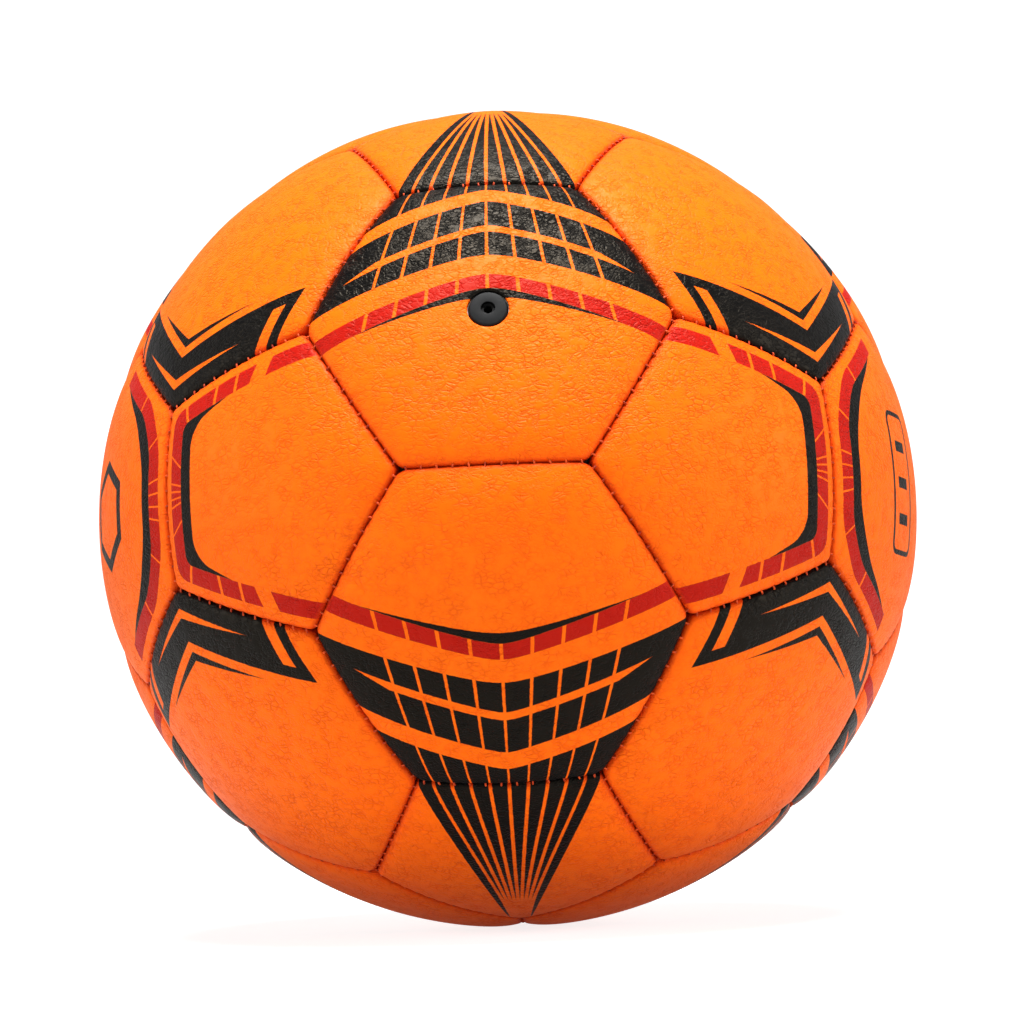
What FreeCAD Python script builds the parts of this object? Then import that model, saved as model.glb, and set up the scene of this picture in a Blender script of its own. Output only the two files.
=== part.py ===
import FreeCAD, Part
import math
import os

# A stitched 32-panel soccer ball, size 5. The origin is the ball's centre, +Z is up, and -Y is
# the front. The X, Y and Z axes each pass through the middle of a seam between two hexagons.

# Overall size
BALL_RADIUS = 110.0          # to the crown of the panels

# Panel build-up, from the outside in
COVER_THICKNESS = 1.2        # grained synthetic leather
FOAM_THICKNESS = 3.6
LINING_THICKNESS = 0.8       # laminated cloth
BLADDER_WALL = 0.9
GLUE_LINE = 0.05             # between layers that are glued or pressed together

# Seams
SEAM_GAP = 0.2               # between the turned-in edges of two panels
EDGE_ROLL = 2.0              # outer radius of the leather where it turns into the seam
CORNER_ROLL = 2.6            # radius of a panel's corner, seen from outside
THREAD_RADIUS = 0.3
THREAD_CLEARANCE = 0.05
SEAM_END = 1.6               # the thread stops this far short of the corner, where it dives in

# Valve, near the middle of the front upper hexagon
VALVE_DROP = 2.2             # from the panel's middle towards the seam below, along the leather
VALVE_NECK_RADIUS = 4.65
VALVE_HOLE_CLEARANCE = 0.1   # round the neck, in every layer that it passes through
VALVE_PROUD = 0.8            # the neck's end stands out of the leather
VALVE_RIM_ROUND = 0.5
VALVE_MOUTH_RADIUS = 1.65    # the hole that shows, which guides the needle
VALVE_LIP_THICKNESS = 1.6    # covers the insert's outer end
VALVE_FLANGE_RADIUS = 13.0
VALVE_FLANGE_THICKNESS = 1.4
CORE_RADIUS = 3.0            # self-sealing insert inside the neck
CORE_FIT = 0.05
CORE_TAIL_RADIUS = 3.8       # a bulb that locks the insert behind the flange
CORE_TAIL_LENGTH = 4.0
NEEDLE_BORE_RADIUS = 1.05    # for the usual 2 mm inflation needle
NEEDLE_BORE_LENGTH = 10.0

# Counterweight on the bladder, opposite the valve
PATCH_RADIUS = 12.0
PATCH_THICKNESS = 1.2

GOLDEN = (1 + math.sqrt(5)) / 2
SIDE_WORDS = (("left", "right"), ("front", "back"), ("bottom", "top"))
NEAR = 0.1                   # closer than any two different lengths of the icosahedron
TOUCH = 0.01                 # closer than any two different edges of a part
PARTS_FOLDER = "parts"

foam_outer = BALL_RADIUS - COVER_THICKNESS - GLUE_LINE
foam_inner = foam_outer - FOAM_THICKNESS
lining_outer = foam_inner - GLUE_LINE
lining_inner = lining_outer - LINING_THICKNESS
bladder_outer = lining_inner - GLUE_LINE
bladder_inner = bladder_outer - BLADDER_WALL
flange_outer = bladder_inner - GLUE_LINE
flange_inner = flange_outer - VALVE_FLANGE_THICKNESS
valve_rim = BALL_RADIUS + VALVE_PROUD


def pentagon_directions():
    """The 12 corners of an icosahedron, three golden rectangles in the XY, YZ and ZX planes."""
    directions = []
    for short in (-1.0, 1.0):
        for long in (-GOLDEN, GOLDEN):
            directions.append(FreeCAD.Vector(short, long, 0))
            directions.append(FreeCAD.Vector(0, short, long))
            directions.append(FreeCAD.Vector(long, 0, short))
    return directions


def are_neighbours(one, other):
    return abs((one - other).Length - 2.0) < NEAR


def seam_corner(near, far):
    """The panel corner a third of the way along the icosahedron's edge from near to far."""
    return (near * 2 + far).normalize()


def side_name(direction):
    """Names a direction by its sides, the strongest first, such as front_left."""
    strength = [abs(direction.x), abs(direction.y), abs(direction.z)]
    order = sorted(range(3), key=lambda i: -strength[i])
    if max(strength) - min(strength) < NEAR:
        order = (1, 0, 2)
    return "_".join(SIDE_WORDS[i][direction[i] > 0] for i in order if strength[i] > NEAR)


def hexagon_triples(pentagons):
    """The 20 faces of the icosahedron, each as its three corners: a hexagon lies in each."""
    triples = []
    for i, a in enumerate(pentagons):
        for j, b in enumerate(pentagons[:i]):
            for c in pentagons[:j]:
                if are_neighbours(a, b) and are_neighbours(b, c) and are_neighbours(c, a):
                    triples.append((a, b, c))
    return triples


def ball(radius):
    """A sphere whose seam and poles stay clear of +Z, where the panels are made."""
    sphere = Part.makeSphere(radius, FreeCAD.Vector(), FreeCAD.Vector(1, 0, 0))
    sphere.rotate(FreeCAD.Vector(), FreeCAD.Vector(1, 0, 0), 180)
    return sphere


def panel_block(sides, corner_angle, side_gap, outer, inner, roll, corner_roll):
    """A regular panel about +Z between two spheres, with its outer edges and corners rounded."""
    side_angle = math.atan(math.tan(corner_angle) * math.cos(math.pi / sides))
    apex = side_gap / math.sin(side_angle)
    height = 2 * outer
    reach = (height - apex) * math.tan(corner_angle)
    turn = 2 * math.pi / sides
    corners = [
        FreeCAD.Vector(reach * math.cos(k * turn), reach * math.sin(k * turn), height)
        for k in range(sides)
    ]
    outline = Part.makePolygon(corners + corners[:1])
    pyramid = Part.makeLoft([Part.Vertex(0, 0, apex), outline], True, True)
    block = pyramid.common(ball(outer)).cut(ball(inner))
    uprights = [e for e in block.Edges if is_upright(e)]
    block = block.makeFillet(corner_roll, uprights)
    rim = [e for e in block.Edges if min(v.Point.Length for v in e.Vertexes) > outer - TOUCH]
    return block.makeFillet(roll, rim)


def is_upright(edge):
    """True for a panel's edge that runs towards the ball's centre."""
    ends = [v.Point.Length for v in edge.Vertexes]
    return max(ends) - min(ends) > TOUCH


def leather_pan(sides, corner_angle):
    """The cover panel: a domed face whose edges turn in to be sewn."""
    half_gap = SEAM_GAP / 2
    outside = panel_block(
        sides, corner_angle, half_gap, BALL_RADIUS, lining_inner, EDGE_ROLL, CORNER_ROLL
    )
    inside = panel_block(
        sides,
        corner_angle,
        half_gap + COVER_THICKNESS,
        BALL_RADIUS - COVER_THICKNESS,
        bladder_inner,
        EDGE_ROLL - COVER_THICKNESS,
        CORNER_ROLL - COVER_THICKNESS,
    )
    return outside.cut(inside)


def inner_layer(sides, corner_angle, outer, inner):
    """A foam pad or a lining piece, which fills the pan between its turned-in edges."""
    leather = COVER_THICKNESS + GLUE_LINE
    side_gap = SEAM_GAP / 2 + leather
    return panel_block(
        sides, corner_angle, side_gap, outer, inner, EDGE_ROLL - leather, CORNER_ROLL - leather
    )


def placed(shape, centre, corner):
    """Turns a shape made about +Z so that +Z is at centre and +X leans towards corner."""
    z = FreeCAD.Vector(centre).normalize()
    x = (corner - z * corner.dot(z)).normalize()
    turned = shape.copy()
    turned.Placement = FreeCAD.Placement(FreeCAD.Vector(), FreeCAD.Rotation(x, z.cross(x), z, "ZXY"))
    return turned


def along_valve(shape):
    return placed(shape, valve_direction, FreeCAD.Vector(1, 0, 0))


def upright_cylinder(radius, bottom, top):
    return Part.makeCylinder(radius, top - bottom, FreeCAD.Vector(0, 0, bottom))


def spherical_disc(radius, inner, outer):
    """A round piece of a spherical layer about +Z."""
    column = upright_cylinder(radius, inner / 2, 2 * outer)
    return column.common(ball(outer)).cut(ball(inner))


def with_valve_hole(shape):
    hole = upright_cylinder(VALVE_NECK_RADIUS + VALVE_HOLE_CLEARANCE, bladder_inner / 2, 2 * BALL_RADIUS)
    return shape.cut(along_valve(hole))


def seam_thread(start, end):
    """The thread that shows in one seam, lying where the two rolled edges pinch it."""
    roll_to_thread = EDGE_ROLL + THREAD_RADIUS + THREAD_CLEARANCE
    roll_to_seam = EDGE_ROLL + SEAM_GAP / 2
    roll_centre = BALL_RADIUS - EDGE_ROLL
    thread_circle = roll_centre + math.sqrt(roll_to_thread ** 2 - roll_to_seam ** 2)
    sweep = math.degrees(start.getAngle(end)) - 2 * math.degrees(SEAM_END / BALL_RADIUS)
    ring = Part.makeTorus(
        thread_circle,
        THREAD_RADIUS,
        FreeCAD.Vector(),
        FreeCAD.Vector(0, 0, 1),
        0,
        360,
        sweep,
    )
    ring.rotate(FreeCAD.Vector(), FreeCAD.Vector(0, 0, 1), -sweep / 2)
    middle = (start + end).normalize()
    across = start.cross(end).normalize()
    ring.Placement = FreeCAD.Placement(
        FreeCAD.Vector(), FreeCAD.Rotation(middle, across.cross(middle), across, "ZXY")
    ).multiply(ring.Placement)
    return ring


def bladder():
    """The rubber balloon that holds the air."""
    return with_valve_hole(ball(bladder_outer).cut(ball(bladder_inner)))


def valve_boot():
    """The moulded rubber neck, glued inside the bladder by its flange."""
    neck = upright_cylinder(VALVE_NECK_RADIUS, flange_inner, valve_rim)
    rim_edge = [e for e in neck.Edges if e.BoundBox.ZMin > valve_rim - TOUCH]
    neck = neck.makeFillet(VALVE_RIM_ROUND, rim_edge)
    boot = neck.fuse(spherical_disc(VALVE_FLANGE_RADIUS, flange_inner, flange_outer))
    pocket = upright_cylinder(CORE_RADIUS + CORE_FIT, bladder_inner / 2, valve_rim - VALVE_LIP_THICKNESS)
    mouth = upright_cylinder(VALVE_MOUTH_RADIUS, bladder_inner / 2, 2 * valve_rim)
    return along_valve(boot.cut(pocket).cut(mouth))


def valve_core():
    """The self-sealing insert: a plug with a blind needle bore, locked in the boot by its bulb."""
    top = valve_rim - VALVE_LIP_THICKNESS - CORE_FIT
    tail_top = math.sqrt(flange_inner ** 2 - CORE_TAIL_RADIUS ** 2) - CORE_FIT
    plug = upright_cylinder(CORE_RADIUS, tail_top - CORE_TAIL_LENGTH, top)
    tail = upright_cylinder(CORE_TAIL_RADIUS, tail_top - CORE_TAIL_LENGTH, tail_top)
    bore = upright_cylinder(NEEDLE_BORE_RADIUS, top - NEEDLE_BORE_LENGTH, 2 * top)
    return along_valve(plug.fuse(tail).cut(bore))


def balance_patch():
    patch = spherical_disc(PATCH_RADIUS, flange_outer - PATCH_THICKNESS, flange_outer)
    return placed(patch, valve_direction * -1, FreeCAD.Vector(1, 0, 0))


def seam_lines(pentagons):
    """Each seam once, as its two corners: 30 between two hexagons and 60 round the pentagons."""
    seams = []
    for i, p in enumerate(pentagons):
        around = [q for q in pentagons if are_neighbours(p, q)]
        for q in around:
            if q in pentagons[:i]:
                seams.append((seam_corner(p, q), seam_corner(q, p)))
            for r in around[:around.index(q)]:
                if are_neighbours(q, r):
                    seams.append((seam_corner(p, q), seam_corner(p, r)))
    return seams


def save(name, shape):
    shape.exportStep(os.path.join(PARTS_FOLDER, name + ".step"))


os.makedirs(PARTS_FOLDER, exist_ok=True)
pentagons = pentagon_directions()
hexagons = hexagon_triples(pentagons)

# Every panel lies about its centre and starts from one of its corners.
pentagon_places = [
    (p, seam_corner(p, next(q for q in pentagons if are_neighbours(p, q)))) for p in pentagons
]
hexagon_places = [(a + b + c, seam_corner(a, b)) for a, b, c in hexagons]
valve_panel = next(c for c, _ in hexagon_places if side_name(c) == "front_top")
drop = FreeCAD.Rotation(FreeCAD.Vector(1, 0, 0), math.degrees(VALVE_DROP / BALL_RADIUS))
valve_direction = drop.multVec(valve_panel).normalize()

layers = (
    ("pentagon", 5, pentagon_places),
    ("hexagon", 6, hexagon_places),
)
for kind, sides, places in layers:
    first_centre, first_corner = places[0]
    corner_angle = first_centre.getAngle(first_corner)
    cover = leather_pan(sides, corner_angle)
    pad = inner_layer(sides, corner_angle, foam_outer, foam_inner)
    cloth = inner_layer(sides, corner_angle, lining_outer, lining_inner)
    for centre, corner in places:
        panel = placed(cover, centre, corner)
        name = f"{kind}_{side_name(centre)}"
        if centre == valve_panel:
            panel = with_valve_hole(panel)
        save(name, panel)
    save(f"foam_pads_{kind}", with_valve_hole(Part.Compound([placed(pad, *p) for p in places])))
    save(f"lining_{kind}", with_valve_hole(Part.Compound([placed(cloth, *p) for p in places])))

save("seam_threads", Part.Compound([seam_thread(a, b) for a, b in seam_lines(pentagons)]))
save("bladder", bladder())
save("valve_boot", valve_boot())
save("valve_core", valve_core())
save("balance_patch", balance_patch())
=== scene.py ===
import math
import random

import bmesh
import bpy
from mathutils import Matrix, Vector


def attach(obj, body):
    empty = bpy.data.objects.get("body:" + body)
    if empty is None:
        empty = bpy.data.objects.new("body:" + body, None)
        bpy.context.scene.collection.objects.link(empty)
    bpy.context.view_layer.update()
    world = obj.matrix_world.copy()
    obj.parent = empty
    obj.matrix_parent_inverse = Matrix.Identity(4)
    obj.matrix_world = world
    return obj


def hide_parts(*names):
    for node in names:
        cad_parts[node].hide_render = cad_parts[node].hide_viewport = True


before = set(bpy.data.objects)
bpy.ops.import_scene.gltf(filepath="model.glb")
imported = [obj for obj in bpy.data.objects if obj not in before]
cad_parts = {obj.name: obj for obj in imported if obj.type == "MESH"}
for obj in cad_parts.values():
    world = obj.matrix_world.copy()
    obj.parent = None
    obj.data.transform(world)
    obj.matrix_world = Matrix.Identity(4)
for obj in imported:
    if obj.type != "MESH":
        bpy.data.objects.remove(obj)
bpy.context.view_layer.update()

# A size 5 soccer ball, machine-stitched from 12 pentagons and 20 hexagons of grained synthetic
# leather, printed in black and red before sewing. Front is -Y, up is +Z, its centre the origin.
MM = 0.001
BALL_RADIUS = 110 * MM

# ------------------------------------------------------------------ how the panels lie
# The panels' centres are the corners (pentagons) and faces (hexagons) of an icosahedron whose
# golden rectangles lie in the planes of X, Y and Z. A panel is named by the sides that it faces.
GOLDEN = (1 + math.sqrt(5)) / 2
SIDE_WORDS = (("left", "right"), ("front", "back"), ("bottom", "top"))


def is_diagonal(direction):
    """True for the eight panels that face as much sideways as forwards and upwards."""
    strength = [abs(part) for part in direction]
    return max(strength) - min(strength) < 0.1


def strongest_first(direction):
    if is_diagonal(direction):
        return [1, 0, 2]
    return [i for i in sorted(range(3), key=lambda i: -abs(direction[i])) if abs(direction[i]) > 0.1]


def side_name(direction):
    return "_".join(SIDE_WORDS[i][direction[i] > 0] for i in strongest_first(direction))


def are_neighbours(one, other):
    return abs((one - other).length - 2) < 0.1


pentagons = []
for short in (-1.0, 1.0):
    for long in (-GOLDEN, GOLDEN):
        pentagons += [Vector((short, long, 0)), Vector((0, short, long)), Vector((long, 0, short))]
hexagons = []
for i, a in enumerate(pentagons):
    for j, b in enumerate(pentagons[:i]):
        for c in pentagons[:j]:
            if are_neighbours(a, b) and are_neighbours(b, c) and are_neighbours(c, a):
                hexagons.append(a + b + c)


def print_up(centre):
    """The way the print on a panel points: to the second side in its name, or to its far corner."""
    if is_diagonal(centre):
        across, deep, tall = (math.copysign(1, part) for part in centre)
        target = Vector((across * (2 + GOLDEN), deep * 2 * GOLDEN, tall))
    else:
        second = strongest_first(centre)[1]
        target = Vector((0, 0, 0))
        target[second] = centre[second]
    out = centre.normalized()
    return (target - out * target.dot(out)).normalized()


# ------------------------------------------------------------------ cover panels
# Each panel is a piece of 1.2 mm synthetic leather on foam, domed by the bladder's pressure.
# Its edges turn in and are sewn to the next panel's, so the leather rolls down into a groove.
COVER_THICKNESS = 1.2 * MM
SEAM_GAP = 0.08 * MM
EDGE_ROLL = 1.05 * MM
EDGE_DEPTH = 3.2 * MM         # how far the turned-in edge goes on down
SHOULDER_SINK = 1.3 * MM      # the leather is drawn down towards every seam
SHOULDER_REACH = 4.2 * MM
PUCKER = 0.3 * MM             # the dip that each stitch pulls
PUCKER_REACH = 1.2 * MM
STITCHES_PER_SEAM = 12
CORNER_SHARPNESS = 46         # the higher, the sharper the panels' corners
FACE_RINGS = 62               # rings of faces from a panel's middle to where its edge rolls
ROLL_RINGS = 9
VALVE_RING = 9                # the ring where the valve's hole is cut
VALVE_ROUND_RINGS = 20        # the rings over which the hole's roundness fades out
VALVE_HOLE_RADIUS = 4.95 * MM
VALVE_DROP = 2.2 * MM         # the hole lies this far below the panel's middle
VALVE_LIP_SINK = 0.35 * MM    # how far the leather sinks at the hole
VALVE_LIP_REACH = 0.6 * MM
VALVE_SURROUND = 10 * MM      # an open edge nearer to a panel's middle is the valve's hole
PRINT_BALL_RADIUS = 100       # the prints are drawn for a ball of this radius


def corner_angle(sides):
    """The angle from a panel's middle to its corner, seen from the ball's centre."""
    edge = 2 / math.sqrt(9 * GOLDEN + 10)
    return math.asin(edge / (2 * math.sin(math.pi / sides)))


def side_angle(sides):
    return math.atan(math.tan(corner_angle(sides)) * math.cos(math.pi / sides))


def stitch_pitch(sides):
    return 2 * BALL_RADIUS * math.sin(corner_angle(sides)) * math.sin(math.pi / sides) / STITCHES_PER_SEAM


def ring_place(ring, sides):
    """How far a ring lies from the seam, and how high above the ball's centre."""
    if ring > FACE_RINGS:
        turn = math.pi / 2 * (1 - (ring - FACE_RINGS) / ROLL_RINGS)
        from_seam = EDGE_ROLL * (1 - math.cos(turn))
        sink = EDGE_ROLL * (1 - math.sin(turn))
    else:
        from_seam = EDGE_ROLL + (side_angle(sides) * BALL_RADIUS - EDGE_ROLL) * (1 - ring / FACE_RINGS)
        sink = 0
    sink += SHOULDER_SINK * math.exp(-from_seam / SHOULDER_REACH)
    return from_seam + SEAM_GAP / 2, BALL_RADIUS - sink


def panel_mesh(sides, first_corner, has_valve):
    """A panel about +Z. Its points know their place on the flat print and their way to the seam."""
    bm = bmesh.new()
    print_place = bm.verts.layers.float_vector.new("print_place")
    seam_distance = bm.verts.layers.float.new("seam_mm")
    rings = FACE_RINGS + ROLL_RINGS
    bmesh.ops.create_circle(bm, cap_ends=True, cap_tris=True, segments=sides, radius=1)
    bmesh.ops.subdivide_edges(bm, edges=bm.edges, cuts=rings - 1, use_grid_fill=True)
    tip = max((v.co for v in bm.verts), key=lambda co: co.length)
    turn = Matrix.Rotation(first_corner - math.atan2(tip.y, tip.x), 3, "Z")
    bmesh.ops.rotate(bm, verts=bm.verts, matrix=turn)
    normals = []
    for k in range(sides):
        angle = first_corner + (k + 0.5) * math.tau / sides
        normals.append(Vector((math.cos(angle), math.sin(angle))))
    for v in bm.verts:
        flat = v.co.xy
        side = max(normals, key=flat.dot)
        ring = round(flat.dot(side) / math.cos(math.pi / sides) * rings)
        from_seam, height = ring_place(ring, sides)
        reach = BALL_RADIUS * math.tan(side_angle(sides) - from_seam / BALL_RADIUS)
        if ring:
            size = sum(max(0, flat.dot(n)) ** CORNER_SHARPNESS for n in normals) ** (1 / CORNER_SHARPNESS)
            if has_valve:
                roundness = max(0, 1 - (ring - VALVE_RING) / VALVE_ROUND_RINGS) ** 2
                size += (flat.length - size) * roundness
                reach += (VALVE_HOLE_RADIUS - reach) * roundness ** 3
                height -= VALVE_LIP_SINK * math.exp((VALVE_HOLE_RADIUS - reach) / VALVE_LIP_REACH)
            along = flat.dot(Vector((-side.y, side.x))) * reach / size
            wave = (1 - math.cos(math.tau * along / stitch_pitch(sides))) / 2
            height -= PUCKER * wave * math.exp(-from_seam / PUCKER_REACH)
            flat = flat * reach / size
            if has_valve:
                flat.y -= VALVE_DROP * roundness
        v[print_place] = Vector((flat.x, flat.y, 0)) * PRINT_BALL_RADIUS / BALL_RADIUS
        v[seam_distance] = from_seam / MM
        v.co = Vector((flat.x, flat.y, BALL_RADIUS)).normalized() * height
        v.tag = ring < VALVE_RING
    if has_valve:
        bmesh.ops.delete(bm, geom=[v for v in bm.verts if v.tag], context="VERTS")
    return bm


def turn_in(bm, reach, depth, steps):
    """Folds every open edge beyond reach down towards the ball's centre."""
    edges = [e for e in bm.edges if e.is_boundary and reach(e.verts[0].co.xy.length)]
    for _ in range(steps):
        made = bmesh.ops.extrude_edge_only(bm, edges=edges)["geom"]
        edges = [g for g in made if isinstance(g, bmesh.types.BMEdge)]
        for v in [g for g in made if isinstance(g, bmesh.types.BMVert)]:
            v.co -= v.co.normalized() * depth / steps


def seat(bm, centre, up):
    """Turns a piece made about +Z to its place on the ball, its +Y along up."""
    out = centre.normalized()
    bmesh.ops.transform(bm, verts=bm.verts, matrix=Matrix((up.cross(out), up, out)).transposed().to_4x4())


def finished(bm, name, material):
    """Makes a bmesh into a shown piece of the ball."""
    bmesh.ops.recalc_face_normals(bm, faces=bm.faces)
    mesh = bpy.data.meshes.new(name)
    bm.to_mesh(mesh)
    bm.free()
    mesh.materials.append(material)
    mesh.shade_smooth()
    piece = bpy.data.objects.new(name, mesh)
    bpy.context.scene.collection.objects.link(piece)
    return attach(piece, "root")


# ------------------------------------------------------------------ printed patterns
# Patterns in black and red ink, screen-printed with crisp edges before the panels are sewn.
# Their sizes are for a ball of radius 100, across and up from each panel's middle.
class Number:
    """A number in a node tree. Sums written with it become Math nodes."""

    def __init__(self, tree, socket):
        self.tree = tree
        self.socket = socket

    def math(self, operation, *others, clamp=False):
        node = self.tree.nodes.new("ShaderNodeMath")
        node.operation = operation
        node.use_clamp = clamp
        for given, value in zip(node.inputs, (self, *others)):
            if isinstance(value, Number):
                self.tree.links.new(value.socket, given)
            else:
                given.default_value = value
        return Number(self.tree, node.outputs[0])

    def __add__(self, other):
        return self.math("ADD", other)

    def __sub__(self, other):
        return self.math("SUBTRACT", other)

    def __rsub__(self, other):
        return self.math("MULTIPLY", -1) + other

    def __mul__(self, other):
        return self.math("MULTIPLY", other)

    def __truediv__(self, other):
        return self.math("DIVIDE", other)

    def __abs__(self):
        return self.math("ABSOLUTE")

    __radd__ = __add__
    __rmul__ = __mul__


def overlap(first, *rest):
    """The area inside every one of some areas. An area is a distance in from its outline."""
    for area in rest:
        first = first.math("MINIMUM", area)
    return first


def together(first, *rest):
    for area in rest:
        first = first.math("MAXIMUM", area)
    return first


def without(area, *holes):
    return overlap(area, *(hole * -1 for hole in holes))


def between(value, low, high):
    return overlap(value - low, high - value)


class Group:
    """A node group with named sockets; formulas for its outputs are written with its inputs."""

    def __init__(self, name, inputs, outputs):
        self.tree = bpy.data.node_groups.new(name, "ShaderNodeTree")
        for label, kind in inputs.items():
            self.tree.interface.new_socket(label, in_out="INPUT", socket_type=kind)
        for label, kind in outputs.items():
            self.tree.interface.new_socket(label, in_out="OUTPUT", socket_type=kind)
        self.entry = self.tree.nodes.new("NodeGroupInput")
        self.exit = self.tree.nodes.new("NodeGroupOutput")

    def number(self, label):
        return Number(self.tree, self.entry.outputs[label])

    def give(self, label, value):
        self.tree.links.new(value.socket if isinstance(value, Number) else value, self.exit.inputs[label])


INK_EDGE = 0.14
PLACE = {"Across": "NodeSocketFloat", "Up": "NodeSocketFloat"}
BLACK_ONLY = {"Black": "NodeSocketFloat"}
BLACK_AND_RED = {"Black": "NodeSocketFloat", "Red": "NodeSocketFloat"}
HEXAGON_SIDE = 38.2           # from a panel's middle to its side
PENTAGON_SIDE = 29.6


def inked(area):
    return (area / INK_EDGE).math("ADD", 0.5, clamp=True)


def bend(across, height, slope, rounding):
    """A V with a rounded point: how high it is at each place across."""
    return (across * across * slope ** 2 + rounding ** 2).math("SQRT") + (height - rounding)


def fan_lines(across, up, spacing, last, focus, width):
    """Lines running together at a point on the middle line, numbered from -last to last."""
    scale = (up - focus) / -focus
    line = (across / scale / spacing).math("ROUND").math("MAXIMUM", -last).math("MINIMUM", last)
    return width / 2 - abs(across - line * scale * spacing)


def grid_print():
    """V bands over a net of black squares; the net's foot is at the panel's lower side."""
    group = Group("grid_print", PLACE, BLACK_AND_RED)
    across, up = group.number("Across"), group.number("Up")
    above_foot = up + HEXAGON_SIDE
    rays = fan_lines(across, above_foot, 4.45, 4, -77, above_foot * 0.009 + 0.45)
    red_top = bend(across, -2.3, 0.30, 1.0)
    black_v = between(up, red_top, bend(across, 0.05, 0.235, 1.4))
    red = between(up, bend(across, -5.8, 0.28, 1.0), red_top)
    net_top = bend(across, -11, 0.26, 1.2)
    upper_gap = bend(across, -18.05, 0.30, 0.6)
    gap_width = (33.0 - abs(across)) * 0.24
    upper_gap_area = between(up, upper_gap - gap_width.math("MINIMUM", 1.9), upper_gap)
    lower_gap_area = between(up, bend(across, -33.4, 0.325, 0.5), bend(across, -28.5, 0.32, 0.5))
    net = without(net_top - up, upper_gap_area, lower_gap_area, rays)
    group.give("Black", inked(together(black_v, net)))
    group.give("Red", inked(without(red, rays)))
    return group.tree


def ray_print():
    """Black rays opening from the panel's lower corner to its upper side."""
    group = Group("ray_print", PLACE, BLACK_ONLY)
    across, up = group.number("Across"), group.number("Up")
    rise = (up + 36.6) / 66.2
    half = rise * rise * 14.8 + rise * 4.5 + 2.2
    fan = half - (rise * 2.5 + 0.8)
    spacing = fan / 4.12
    line = (across / spacing).math("ROUND").math("MAXIMUM", -4).math("MINIMUM", 4)
    width = (-12 - up).math("MAXIMUM", 0) * 0.05 + 0.8
    rays = width / 2 - abs(across - line * spacing)
    middle_end = overlap(fan - abs(across), -18.5 - up)
    group.give("Black", inked(without(half - abs(across), rays, middle_end)))
    return group.tree


def toward(across, up, angle):
    """How far a place lies towards a direction, its angle measured from up."""
    return across * math.sin(angle) + up * math.cos(angle)


def framed(across, up, depths, side, turn, rounding):
    """The area inside lines that follow a panel's top side and the two next to it.

    Depths are how far in from the top side and from the others; turn is the angle between them.
    """
    past_top = up + depths[0] + (rounding - side)
    past_side = toward(abs(across), up, turn) + depths[1] + (rounding - side)
    corner = past_side.math("MAXIMUM", 0).math("POWER", 2) + past_top.math("MAXIMUM", 0).math("POWER", 2)
    return rounding - (corner.math("SQRT") + overlap(together(past_side, past_top), across * 0))


def radial_lines(across, up, focus, angles, half_width):
    """Mirrored pairs of fine lines opening from a point on the middle line."""
    lines = None
    for angle in angles:
        angle = math.radians(angle)
        off = abs(abs(across) * math.cos(angle) - (up - focus) * math.sin(angle))
        line = overlap(half_width - off, up - focus)
        lines = line if lines is None else together(lines, line)
    return lines


def pentagon_border():
    """A red band and a black one along three sides of a pentagon, broken and cracked."""
    group = Group("pentagon_border", PLACE, BLACK_AND_RED)
    across, up = group.number("Across"), group.number("Up")
    turn = math.radians(72)
    outside = framed(across, up, (3.4, 3.4), PENTAGON_SIDE, turn, 3.2)
    middle = framed(across, up, (7.7, 7.7), PENTAGON_SIDE, turn, 2.0)
    inside = framed(across, up, (11.2, (up - 7.5) * 0.18 + 7.7), PENTAGON_SIDE, turn, 4.5)
    lean = framed(across, up, (3.4, 3.4), PENTAGON_SIDE, turn, 0.1) * 0.3
    gap = between(up, lean - 4.1, lean + 0.2)
    cuts = overlap(together(0.4 - abs(up - 11.7), 0.4 - abs(up - 5.6)), abs(across) - 12)
    cracks = radial_lines(across, up, 14, (4.4, 13.2, 37), 0.2)
    cracks = together(cracks, radial_lines(across, up, 14, (69,), 0.4))
    group.give("Black", inked(without(middle, inside)))
    group.give("Red", inked(without(outside, middle, gap, cuts, cracks)))
    return group.tree


def hexagon_border():
    """The same bands along three sides of a hexagon, more rounded."""
    group = Group("hexagon_border", PLACE, BLACK_AND_RED)
    across, up = group.number("Across"), group.number("Up")
    turn = math.radians(60)
    outside = framed(across, up, (2.95, 2.95), HEXAGON_SIDE, turn, 10)
    middle = framed(across, up, (7.0, 7.0), HEXAGON_SIDE, turn, 8.5)
    inside = framed(across, up, (10.4, (up - 9) * 0.22 + 7.0), HEXAGON_SIDE, turn, 9)
    cracks = radial_lines(across, up, 14, (4.4, 13.2, 37), 0.2)
    cracks = together(cracks, radial_lines(across, up, 14, (69,), 0.3))
    group.give("Black", inked(without(middle, inside)))
    group.give("Red", inked(overlap(without(outside, middle, cracks), up - 7)))
    return group.tree


def chevron_print():
    """Stacked black chevrons pointing to the panel's upper corner."""
    group = Group("chevron_print", PLACE, BLACK_ONLY)
    across, up = group.number("Across"), group.number("Up")
    wide = abs(across)
    slanted = wide - (26.5 - up) * 0.1
    bold = overlap(31 - slanted, up - (30.3 - wide * 0.6))
    taper = between(up, 36.3 - wide * 0.47, 38.8 - wide * 0.6)
    slit = overlap(between(slanted, 25.65, 28.4), up - (33.6 - wide * 0.6))
    thin = between(up, 25.4 - wide * 0.48, 27.7 - wide * 0.6)
    group.give("Black", inked(together(without(bold, taper, slit), thin)))
    return group.tree


def hexagon_badge():
    """A plain hexagon outline, the shape of the panel that it lies on."""
    group = Group("hexagon_badge", PLACE, BLACK_ONLY)
    across, up = group.number("Across"), group.number("Up")
    size = together(abs(up), abs(up) * 0.5 + abs(across) * 0.866)
    group.give("Black", inked(between(size, 8.0, 10.5)))
    return group.tree


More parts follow.
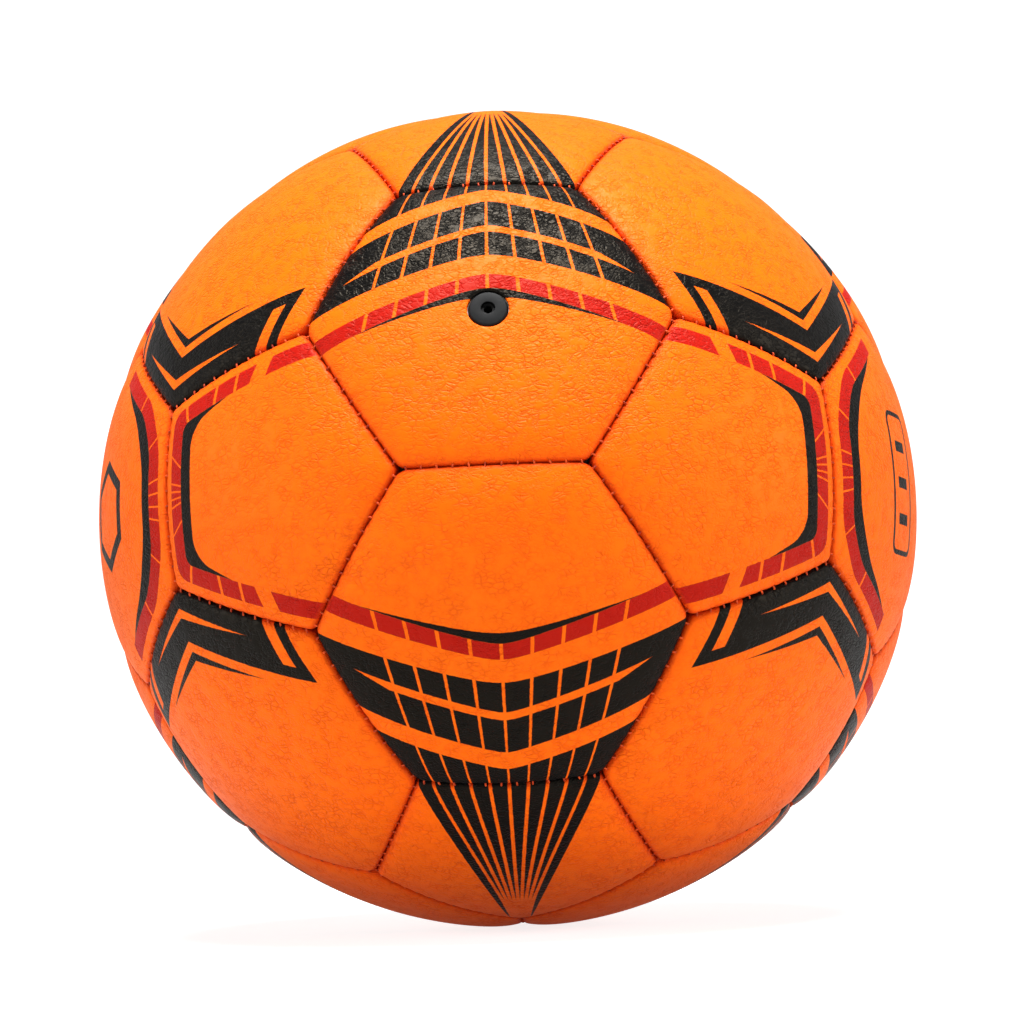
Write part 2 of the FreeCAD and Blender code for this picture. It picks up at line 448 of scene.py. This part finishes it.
def label_box():
    """A rounded outline with three plain bars."""
    group = Group("label_box", PLACE, BLACK_ONLY)
    across, up = group.number("Across"), group.number("Up")
    side = (abs(across) - 14.0).math("MAXIMUM", 0)
    end = (abs(up) - 4.5).math("MAXIMUM", 0)
    out = (side * side + end * end).math("SQRT")
    outline = between(out, 1.8, 3.0)
    bars = overlap(together(1.3 - abs(abs(across) - 8.5), 1.3 - abs(across)), 3.6 - abs(up))
    group.give("Black", inked(together(outline, bars)))
    return group.tree


# ------------------------------------------------------------------ grained leather
# Orange synthetic leather, embossed with an irregular net of creases; semi-gloss.
def texture(tree, kind, place, scale, output="Fac", **values):
    """A noise or cell texture at a place, as a number."""
    node = tree.nodes.new(kind)
    node.inputs["Scale"].default_value = scale
    for label, value in values.items():
        setattr(node, label, value)
    tree.links.new(place, node.inputs["Vector"])
    return Number(tree, node.outputs[output])


# The two nets of creases: cells to a metre, how wide a crease is in cells, patches to a metre.
CREASE_NETS = ((620, 0.22, 240), (1150, 0.26, 420))
WANDER = (0.0015, 0.0015, 0.0015)     # how far the creases stray, in metres
FLATTEN = (0.85, 0.85, 1.4)           # squeezes the cells, so they are wider than tall


def grain_group():
    """An embossed net of creases, broken up so that no cell is outlined all round."""
    sockets = {"Height": "NodeSocketFloat", "Crease": "NodeSocketFloat"}
    group = Group("leather_grain", {"Place": "NodeSocketVector"}, sockets)
    tree = group.tree
    place = group.entry.outputs["Place"]
    warp = tree.nodes.new("ShaderNodeTexNoise")
    warp.inputs["Scale"].default_value = 330
    warp.inputs["Detail"].default_value = 3
    tree.links.new(place, warp.inputs["Vector"])
    warped = tree.nodes.new("ShaderNodeVectorMath")
    warped.operation = "MULTIPLY_ADD"
    warped.inputs[1].default_value = WANDER
    tree.links.new(warp.outputs["Color"], warped.inputs[0])
    tree.links.new(place, warped.inputs[2])
    flattened = tree.nodes.new("ShaderNodeVectorMath")
    flattened.operation = "MULTIPLY"
    flattened.inputs[1].default_value = FLATTEN
    tree.links.new(warped.outputs[0], flattened.inputs[0])
    creases = []
    for cells, width, patches in CREASE_NETS:
        net = flattened.outputs[0]
        edge = texture(tree, "ShaderNodeTexVoronoi", net, cells, "Distance", feature="DISTANCE_TO_EDGE")
        patchy = texture(tree, "ShaderNodeTexNoise", place, patches) - 0.38
        patchy = patchy.math("MULTIPLY", 4.0, clamp=True)
        creases.append((1 - edge / width).math("MAXIMUM", 0).math("POWER", 1.5) * patchy)
    crease = creases[0] + creases[1] * 0.6
    pores = texture(tree, "ShaderNodeTexNoise", place, 1400)
    swell = texture(tree, "ShaderNodeTexNoise", place, 300)
    group.give("Height", swell * 0.5 + pores * 0.16 - crease * 0.8)
    group.give("Crease", crease.math("MINIMUM", 1))
    return tree


LEATHER_GRAIN = grain_group()
ORANGE = (0.98, 0.132, 0.0012, 1)
BRIGHT_ORANGE = (1.0, 0.162, 0.003, 1)
# Painted shade: the darker orange laid into the grain's creases.
CREASE_SHADE_ORANGE = (0.8, 0.06, 0.001, 1)
# Painted shade: the darker orange where the leather rolls down to each seam.
SHOULDER_SHADE_ORANGE = (0.9, 0.06, 0.001, 1)
# Painted shade: the dark red down in every seam's groove.
SEAM_SHADE_RED = (0.55, 0.03, 0.002, 1)
RED_INK = (0.44, 0.007, 0.003, 1)
BLACK_INK = (0.003, 0.003, 0.0034, 1)
GRAIN_DEPTH = 0.00035


def put(tree, kind, **values):
    """A node with some of its sockets set."""
    node = tree.nodes.new(kind)
    for label, value in values.items():
        node.inputs[label.replace("_", " ")].default_value = value
    return node


def mixed(tree, factor, one, other):
    """One colour over another by a mask. Colours may be sockets or four numbers."""
    node = tree.nodes.new("ShaderNodeMix")
    node.data_type = "RGBA"
    tree.links.new(factor.socket, node.inputs[0])
    for given, value in ((node.inputs[6], one), (node.inputs[7], other)):
        if isinstance(value, tuple):
            given.default_value = value
        else:
            tree.links.new(value, given)
    return node.outputs[2]


def leather(name, prints):
    """Orange leather with printed patterns; each is (node group, across, up, size, way up)."""
    material = bpy.data.materials.new(name)
    material.use_nodes = True
    tree = material.node_tree
    shader = tree.nodes["Principled BSDF"]
    coordinates = tree.nodes.new("ShaderNodeTexCoord").outputs["Object"]
    place = tree.nodes.new("ShaderNodeAttribute")
    place.attribute_name = "print_place"
    seam = tree.nodes.new("ShaderNodeAttribute")
    seam.attribute_name = "seam_mm"
    from_seam = Number(tree, seam.outputs["Fac"])
    split = tree.nodes.new("ShaderNodeSeparateXYZ")
    tree.links.new(place.outputs["Vector"], split.inputs[0])
    raggedness = (texture(tree, "ShaderNodeTexNoise", coordinates, 900) - 0.5) * 0.2
    across = Number(tree, split.outputs["X"]) + raggedness
    up = Number(tree, split.outputs["Y"]) + raggedness
    blacks, reds = [], []
    for group, middle_across, middle_up, size, way in prints:
        printed = tree.nodes.new("ShaderNodeGroup")
        printed.node_tree = group
        tree.links.new(((across - middle_across) / size).socket, printed.inputs["Across"])
        tree.links.new(((up - middle_up) / (size * way)).socket, printed.inputs["Up"])
        blacks.append(Number(tree, printed.outputs["Black"]))
        if "Red" in printed.outputs:
            reds.append(Number(tree, printed.outputs["Red"]))
    black = together(*blacks)
    grain = tree.nodes.new("ShaderNodeGroup")
    grain.node_tree = LEATHER_GRAIN
    tree.links.new(coordinates, grain.inputs["Place"])
    crease = Number(tree, grain.outputs["Crease"])
    uneven = texture(tree, "ShaderNodeTexNoise", coordinates, 28)
    colour = mixed(tree, uneven, ORANGE, BRIGHT_ORANGE)
    # painted shade in the grain's creases, on top of their bump
    colour = mixed(tree, crease * 0.45, colour, CREASE_SHADE_ORANGE)
    # painted shade: a darker band within 3.6 mm of every seam, where the leather rolls down
    shoulder_shade = ((3.6 - from_seam) / 3.2).math("MAXIMUM", 0).math("POWER", 2) * 0.45
    colour = mixed(tree, shoulder_shade, colour, SHOULDER_SHADE_ORANGE)
    if reds:
        colour = mixed(tree, together(*reds), colour, RED_INK)
    # painted shade: dark red within 1.2 mm of the seam, down in its groove
    seam_shade = ((1.2 - from_seam) / 1.0).math("MULTIPLY", 0.8, clamp=True)
    colour = mixed(tree, seam_shade, colour, SEAM_SHADE_RED)
    colour = mixed(tree, black, colour, BLACK_INK)
    tree.links.new(colour, shader.inputs["Base Color"])
    bump = put(tree, "ShaderNodeBump", Distance=GRAIN_DEPTH)
    strength = uneven * 0.9 + 0.2
    tree.links.new(strength.socket, bump.inputs["Strength"])
    tree.links.new(grain.outputs["Height"], bump.inputs["Height"])
    tree.links.new(bump.outputs["Normal"], shader.inputs["Normal"])
    roughness = 0.42 - black * 0.08 + crease * 0.1
    tree.links.new(roughness.socket, shader.inputs["Roughness"])
    shader.inputs["Specular IOR Level"].default_value = 0.11
    shader.inputs["Specular Tint"].default_value = (1.0, 0.78, 0.5, 1)
    return material


GRID, RAYS, CHEVRON = grid_print(), ray_print(), chevron_print()
PENTAGON_BORDER, HEXAGON_BORDER = pentagon_border(), hexagon_border()
leathers = {
    "grid": leather("leather_grid", [(GRID, 0, -1.0, 1, -1)]),
    "grid_by_valve": leather("leather_grid_by_valve", [(GRID, 0, 0.75, 1, -1)]),
    "rays": leather("leather_rays", [(RAYS, 0, 0, 1, 1)]),
    "chevron": leather("leather_chevron", [(CHEVRON, 0, 0, 1, 1)]),
    "pentagon_border": leather("leather_pentagon_border", [(PENTAGON_BORDER, 0, 0, 1, 1)]),
    "hexagon_border": leather("leather_hexagon_border", [(HEXAGON_BORDER, 0, 0, 1, 1)]),
    "badge": leather("leather_badge", [(HEXAGON_BORDER, 0, 0, 1, 1), (hexagon_badge(), 0, 3, 1.1, 1)]),
    "label": leather("leather_label", [(HEXAGON_BORDER, 0, 0, 1, 1), (label_box(), 0, 2, 1, 1)]),
    "side_grid": leather("leather_side_grid", [(GRID, 0, 0, 0.775, -1)]),
    "side_rays": leather("leather_side_rays", [(RAYS, 0, 3.5, 1.15, 1)]),
}


def leather_for(name, sides):
    """Which print a panel carries, by the sides it faces."""
    if name == "hexagon_front_top":
        return leathers["grid_by_valve"]
    if name == "hexagon_left_front":
        return leathers["badge"]
    if name == "hexagon_right_front":
        return leathers["label"]
    words = name.split("_")[1:]
    if len(words) == 3:
        return leathers["chevron"]
    upright = {"top", "bottom"}
    if sides == 6:
        if words[0] in ("front", "back"):
            return leathers["grid"]
        return leathers["side_rays"] if words[0] in upright else leathers["hexagon_border"]
    if words[0] in upright:
        return leathers["rays"]
    return leathers["pentagon_border"] if words[0] in ("front", "back") else leathers["side_grid"]


meshes = {}
for sides, centres in ((5, pentagons), (6, hexagons)):
    for centre in centres:
        name = {5: "pentagon_", 6: "hexagon_"}[sides] + side_name(centre)
        has_valve = name == "hexagon_front_top"
        first_corner = -math.pi / 2 if sides == 5 or is_diagonal(centre) else 0
        key = (sides, first_corner, has_valve)
        if key not in meshes:
            meshes[key] = panel_mesh(*key)
            turn_in(meshes[key], lambda reach: reach > VALVE_SURROUND, EDGE_DEPTH, 3)
            turn_in(meshes[key], lambda reach: reach < VALVE_SURROUND, COVER_THICKNESS, 2)
        bm = meshes[key].copy()
        seat(bm, centre, print_up(centre))
        panel = finished(bm, f"{name}_cover", leather_for(name, sides))
        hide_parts(name)

# ------------------------------------------------------------------ seam thread
# Thick waxed polyester, lock-stitched. Only short rungs of it show, one about every 4 mm: each
# is a little arch across the groove that dives into both edges.
THREAD_RADIUS = 0.24 * MM
STITCH_ARCH = 0.72 * MM       # the radius of a rung's arch
STITCH_TOP = 1.35 * MM        # how far under the ball's surface an arch's top lies
STITCH_DEPTH_PLAY = 0.15 * MM # some rungs lie this much deeper
STITCH_STEPS = 6
THREAD_SIDES = 6
THREAD_DARK = (0.22, 0.008, 0.002, 1)
THREAD_LIGHT = (0.8, 0.09, 0.008, 1)

thread = bpy.data.materials.new("waxed_thread")
thread.use_nodes = True
tree = thread.node_tree
shader = tree.nodes["Principled BSDF"]
twist = texture(tree, "ShaderNodeTexNoise", tree.nodes.new("ShaderNodeTexCoord").outputs["Object"], 900)
colour = mixed(tree, (twist - 0.3) * 2.5, THREAD_DARK, THREAD_LIGHT)
tree.links.new(colour, shader.inputs["Base Color"])
shader.inputs["Roughness"].default_value = 0.45
shader.inputs["Specular IOR Level"].default_value = 0.2

one_stitch = bmesh.new()
section = bmesh.ops.create_circle(one_stitch, segments=THREAD_SIDES, radius=THREAD_RADIUS)["verts"]
bmesh.ops.translate(one_stitch, verts=section, vec=(STITCH_ARCH, 0, 0))
ring = section + list(one_stitch.edges)
bmesh.ops.spin(one_stitch, geom=ring, cent=(0, 0, 0), axis=(0, -1, 0), angle=math.pi, steps=STITCH_STEPS)
bmesh.ops.holes_fill(one_stitch, edges=[e for e in one_stitch.edges if e.is_boundary], sides=0)
template = bpy.data.meshes.new("one_stitch")
one_stitch.to_mesh(template)
one_stitch.free()

seams = []
for i, p in enumerate(pentagons):
    around = [q for q in pentagons if are_neighbours(p, q)]
    for q in around:
        if q in pentagons[:i]:
            seams.append(((2 * p + q).normalized(), (2 * q + p).normalized()))
        for r in around[:around.index(q)]:
            if are_neighbours(q, r):
                seams.append(((2 * p + q).normalized(), (2 * p + r).normalized()))
chance = random.Random(7)
bm = bmesh.new()
for start, end in seams:
    for k in range(STITCHES_PER_SEAM):
        out = start.lerp(end, (k + 0.5) / STITCHES_PER_SEAM).normalized()
        along = (end - start).normalized()
        lean = chance.uniform(-0.1, 0.35)
        across = (along.cross(out) + along * lean).normalized()
        turn = Matrix((across, out.cross(across), out)).transposed()
        height = BALL_RADIUS - STITCH_TOP - STITCH_ARCH - chance.uniform(0, STITCH_DEPTH_PLAY)
        done = len(bm.verts)
        bm.from_mesh(template)
        bm.verts.ensure_lookup_table()
        place = Matrix.Translation(out * height) @ turn.to_4x4()
        bmesh.ops.transform(bm, verts=bm.verts[done:], matrix=place)
bpy.data.meshes.remove(template)
stitches = finished(bm, "seam_stitches", thread)
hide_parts("seam_threads")

# ------------------------------------------------------------------ valve
# A black rubber plug that the needle goes into, its flat head just under the leather's face.
VALVE_HEAD_RADIUS = 4.6 * MM
VALVE_MOUTH_RADIUS = 1.65 * MM
VALVE_HEAD_TOP = 109.95 * MM
VALVE_DEPTH = 5 * MM
VALVE_DOME = 0.35 * MM
VALVE_RIM_ROUND = 0.5 * MM
VALVE_MOUTH_ROUND = 0.1 * MM
VALVE_SIDES = 64
MOUTH_STEPS = 3
RIM_STEPS = 6
RUBBER_DARK = (0.005, 0.0053, 0.0056, 1)
RUBBER_LIGHT = (0.011, 0.0113, 0.0116, 1)
# Painted shade: the near-black rubber down the valve's mouth stands for the shade in the hole.
MOUTH_SHADE_DARK = (0.0015, 0.0015, 0.0015, 1)
MOUTH_SHADE_LIGHT = (0.003, 0.003, 0.003, 1)


def rubber_material(name, specular, dark, light):
    material = bpy.data.materials.new(name)
    material.use_nodes = True
    tree = material.node_tree
    shader = tree.nodes["Principled BSDF"]
    shader.inputs["Roughness"].default_value = 0.5
    shader.inputs["Specular IOR Level"].default_value = specular
    coordinates = tree.nodes.new("ShaderNodeTexCoord").outputs["Object"]
    speckle = texture(tree, "ShaderNodeTexNoise", coordinates, 1800)
    tree.links.new(mixed(tree, speckle, dark, light), shader.inputs["Base Color"])
    return material


rubber = rubber_material("valve_rubber", 0.1, RUBBER_DARK, RUBBER_LIGHT)
mouth_shade_rubber = rubber_material("valve_mouth_shade_rubber", 0.02, MOUTH_SHADE_DARK, MOUTH_SHADE_LIGHT)

bm = bmesh.new()
foot = VALVE_HEAD_TOP - VALVE_DEPTH
profile = [(VALVE_MOUTH_RADIUS, foot), (VALVE_MOUTH_RADIUS, VALVE_HEAD_TOP - VALVE_MOUTH_ROUND)]
for step in range(MOUTH_STEPS + 1):
    angle = step / MOUTH_STEPS * math.pi / 2
    across = VALVE_MOUTH_RADIUS + VALVE_MOUTH_ROUND * (1 - math.cos(angle))
    profile.append((across, VALVE_HEAD_TOP - VALVE_MOUTH_ROUND * (1 - math.sin(angle))))
for step in range(RIM_STEPS + 1):
    angle = step / RIM_STEPS * math.pi / 2
    across = VALVE_HEAD_RADIUS - VALVE_RIM_ROUND * (1 - math.sin(angle))
    profile.append((across, VALVE_HEAD_TOP - VALVE_DOME - VALVE_RIM_ROUND * (1 - math.cos(angle))))
profile += [(VALVE_HEAD_RADIUS, foot), (VALVE_MOUTH_RADIUS, foot)]
points = [bm.verts.new((x, 0, z)) for x, z in profile]
edges = [bm.edges.new(pair) for pair in zip(points, points[1:])]
bmesh.ops.spin(
    bm, geom=points + edges, cent=(0, 0, 0), axis=(0, 0, 1), angle=math.tau,
    steps=VALVE_SIDES, use_merge=True
)
bmesh.ops.remove_doubles(bm, verts=bm.verts, dist=0.01 * MM)
# the faces down the mouth take the painted-shade rubber
for face in bm.faces:
    if max(v.co.xy.length for v in face.verts) < VALVE_MOUTH_RADIUS + VALVE_MOUTH_ROUND / 2:
        face.material_index = 1
valve_panel = next(c for c in hexagons if side_name(c) == "front_top")
drop = Matrix.Rotation(VALVE_DROP / BALL_RADIUS, 3, "X")
seat(bm, drop @ valve_panel, drop @ print_up(valve_panel))
valve = finished(bm, "valve_boot_head", rubber)
valve.data.materials.append(mouth_shade_rubber)
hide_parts("valve_boot")

# ------------------------------------------------------------------ inside
# What the covers hide keeps its designed shape: cream foam pads, a woven cotton-polyester
# lining, a black butyl bladder, the valve's core, and a brown patch that balances the valve.
PADS = ("foam_pads_pentagon", "foam_pads_hexagon")
LININGS = ("lining_pentagon", "lining_hexagon")
for stuff, nodes, fineness, roughness, dark, light in (
    ("pad_foam", PADS, 900, 0.8, (0.70, 0.68, 0.62, 1), (0.88, 0.86, 0.81, 1)),
    ("woven_lining", LININGS, 260, 0.9, (0.62, 0.60, 0.54, 1), (0.82, 0.80, 0.74, 1)),
    ("butyl", ("bladder",), 120, 0.45, (0.015, 0.015, 0.016, 1), (0.035, 0.035, 0.036, 1)),
    # the valve's core is black rubber made darker still, as painted shade where it shows down the valve's
    # mouth
    ("core_rubber", ("valve_core",), 1500, 0.5, (0.003, 0.003, 0.003, 1), (0.008, 0.008, 0.008, 1)),
    ("patch_rubber", ("balance_patch",), 400, 0.6, (0.08, 0.066, 0.052, 1), (0.15, 0.126, 0.10, 1)),
):
    material = bpy.data.materials.new(stuff)
    material.use_nodes = True
    tree = material.node_tree
    shader = tree.nodes["Principled BSDF"]
    shader.inputs["Roughness"].default_value = roughness
    shader.inputs["Specular IOR Level"].default_value = 0.15
    coordinates = tree.nodes.new("ShaderNodeTexCoord").outputs["Object"]
    mottle = texture(tree, "ShaderNodeTexNoise", coordinates, fineness)
    tree.links.new(mixed(tree, (mottle - 0.3) * 2.5, dark, light), shader.inputs["Base Color"])
    relief = put(tree, "ShaderNodeBump", Strength=0.4, Distance=0.0002)
    tree.links.new(mottle.socket, relief.inputs["Height"])
    tree.links.new(relief.outputs["Normal"], shader.inputs["Normal"])
    for node in nodes:
        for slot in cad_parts[node].material_slots:
            slot.material = material

# ------------------------------------------------------------------ stage
# A pale floor rising all round into a wall, a large soft light above and a weaker one at each
# side. The camera faces the valve's side from a little below the ball's middle.
FLOOR_RADIUS = 1.6
WALL_CURVE = 1.2              # the radius of the bend from floor to wall
WALL_HEIGHT = 1.2             # above the bend
CURVE_STEPS = 12
PAPER = (0.5, 0.5, 0.5, 1)

bm = bmesh.new()
bmesh.ops.create_circle(bm, cap_ends=True, segments=96, radius=FLOOR_RADIUS)
rim = [e for e in bm.edges if e.is_boundary]
for step in range(1, CURVE_STEPS + 1):
    angle = step / CURVE_STEPS * math.pi / 2
    made = bmesh.ops.extrude_edge_only(bm, edges=rim)["geom"]
    rim = [g for g in made if isinstance(g, bmesh.types.BMEdge)]
    for v in [g for g in made if isinstance(g, bmesh.types.BMVert)]:
        out = v.co.xy.normalized() * (FLOOR_RADIUS + WALL_CURVE * math.sin(angle))
        v.co = Vector((out.x, out.y, WALL_CURVE * (1 - math.cos(angle))))
made = bmesh.ops.extrude_edge_only(bm, edges=rim)["geom"]
wall_top = [g for g in made if isinstance(g, bmesh.types.BMVert)]
bmesh.ops.translate(bm, verts=wall_top, vec=(0, 0, WALL_HEIGHT))
bmesh.ops.translate(bm, verts=bm.verts, vec=(0, 0, -BALL_RADIUS))
bmesh.ops.recalc_face_normals(bm, faces=bm.faces)
bmesh.ops.reverse_faces(bm, faces=bm.faces)
mesh = bpy.data.meshes.new("floor")
bm.to_mesh(mesh)
bm.free()
mesh.shade_smooth()
floor = bpy.data.objects.new("floor", mesh)
bpy.context.scene.collection.objects.link(floor)
paper = bpy.data.materials.new("white_paper")
paper.use_nodes = True
tree = paper.node_tree
shader = tree.nodes["Principled BSDF"]
shader.inputs["Base Color"].default_value = PAPER
shader.inputs["Roughness"].default_value = 0.9
shader.inputs["Emission Color"].default_value = (1, 1, 1, 1)
seen = tree.nodes.new("ShaderNodeLightPath")
glow = Number(tree, seen.outputs["Is Camera Ray"]) * 0.7 + 0.12
tree.links.new(glow.socket, shader.inputs["Emission Strength"])
mesh.materials.append(paper)


def soft_light(name, place, size, energy):
    data = bpy.data.lights.new(name, "AREA")
    data.shape = "DISK"
    data.size = size
    data.energy = energy
    light = bpy.data.objects.new(name, data)
    light.location = place
    light.rotation_euler = (-light.location).to_track_quat("-Z", "Y").to_euler()
    bpy.context.scene.collection.objects.link(light)


soft_light("top_light", (0.05, -0.4, 1.45), 0.9, 54)
soft_light("left_light", (-1.6, -0.5, 0.4), 0.9, 8.5)
soft_light("right_light", (1.6, -0.5, 0.4), 0.9, 10.5)
world = bpy.data.worlds.new("studio")
bpy.context.scene.world = world
world.use_nodes = True
world.node_tree.nodes["Background"].inputs["Color"].default_value = (1, 1, 1, 1)
world.node_tree.nodes["Background"].inputs["Strength"].default_value = 0.11
bpy.context.scene.view_settings.view_transform = "Standard"

CAMERA_DISTANCE = 0.643
CAMERA_TURN = (math.radians(-6.65), math.radians(-2.32), math.radians(-1.63))
turn = Vector(CAMERA_TURN)
ball_turn = Matrix.Rotation(turn.length, 3, turn.normalized())
camera_data = bpy.data.cameras.new("camera")
camera_data.sensor_width = 36
camera_data.lens = 82.8
camera = bpy.data.objects.new("camera", camera_data)
bpy.context.scene.collection.objects.link(camera)
facing = Matrix.Rotation(math.pi / 2, 3, "X")
world_turn = ball_turn.transposed()
standpoint = Matrix.Translation(world_turn @ Vector((0, -CAMERA_DISTANCE, 0)))
camera.matrix_world = standpoint @ (world_turn @ facing).to_4x4()
camera_data.shift_x = 4.1 / 1024
camera_data.shift_y = 6.7 / 1024
bpy.context.scene.camera = camera
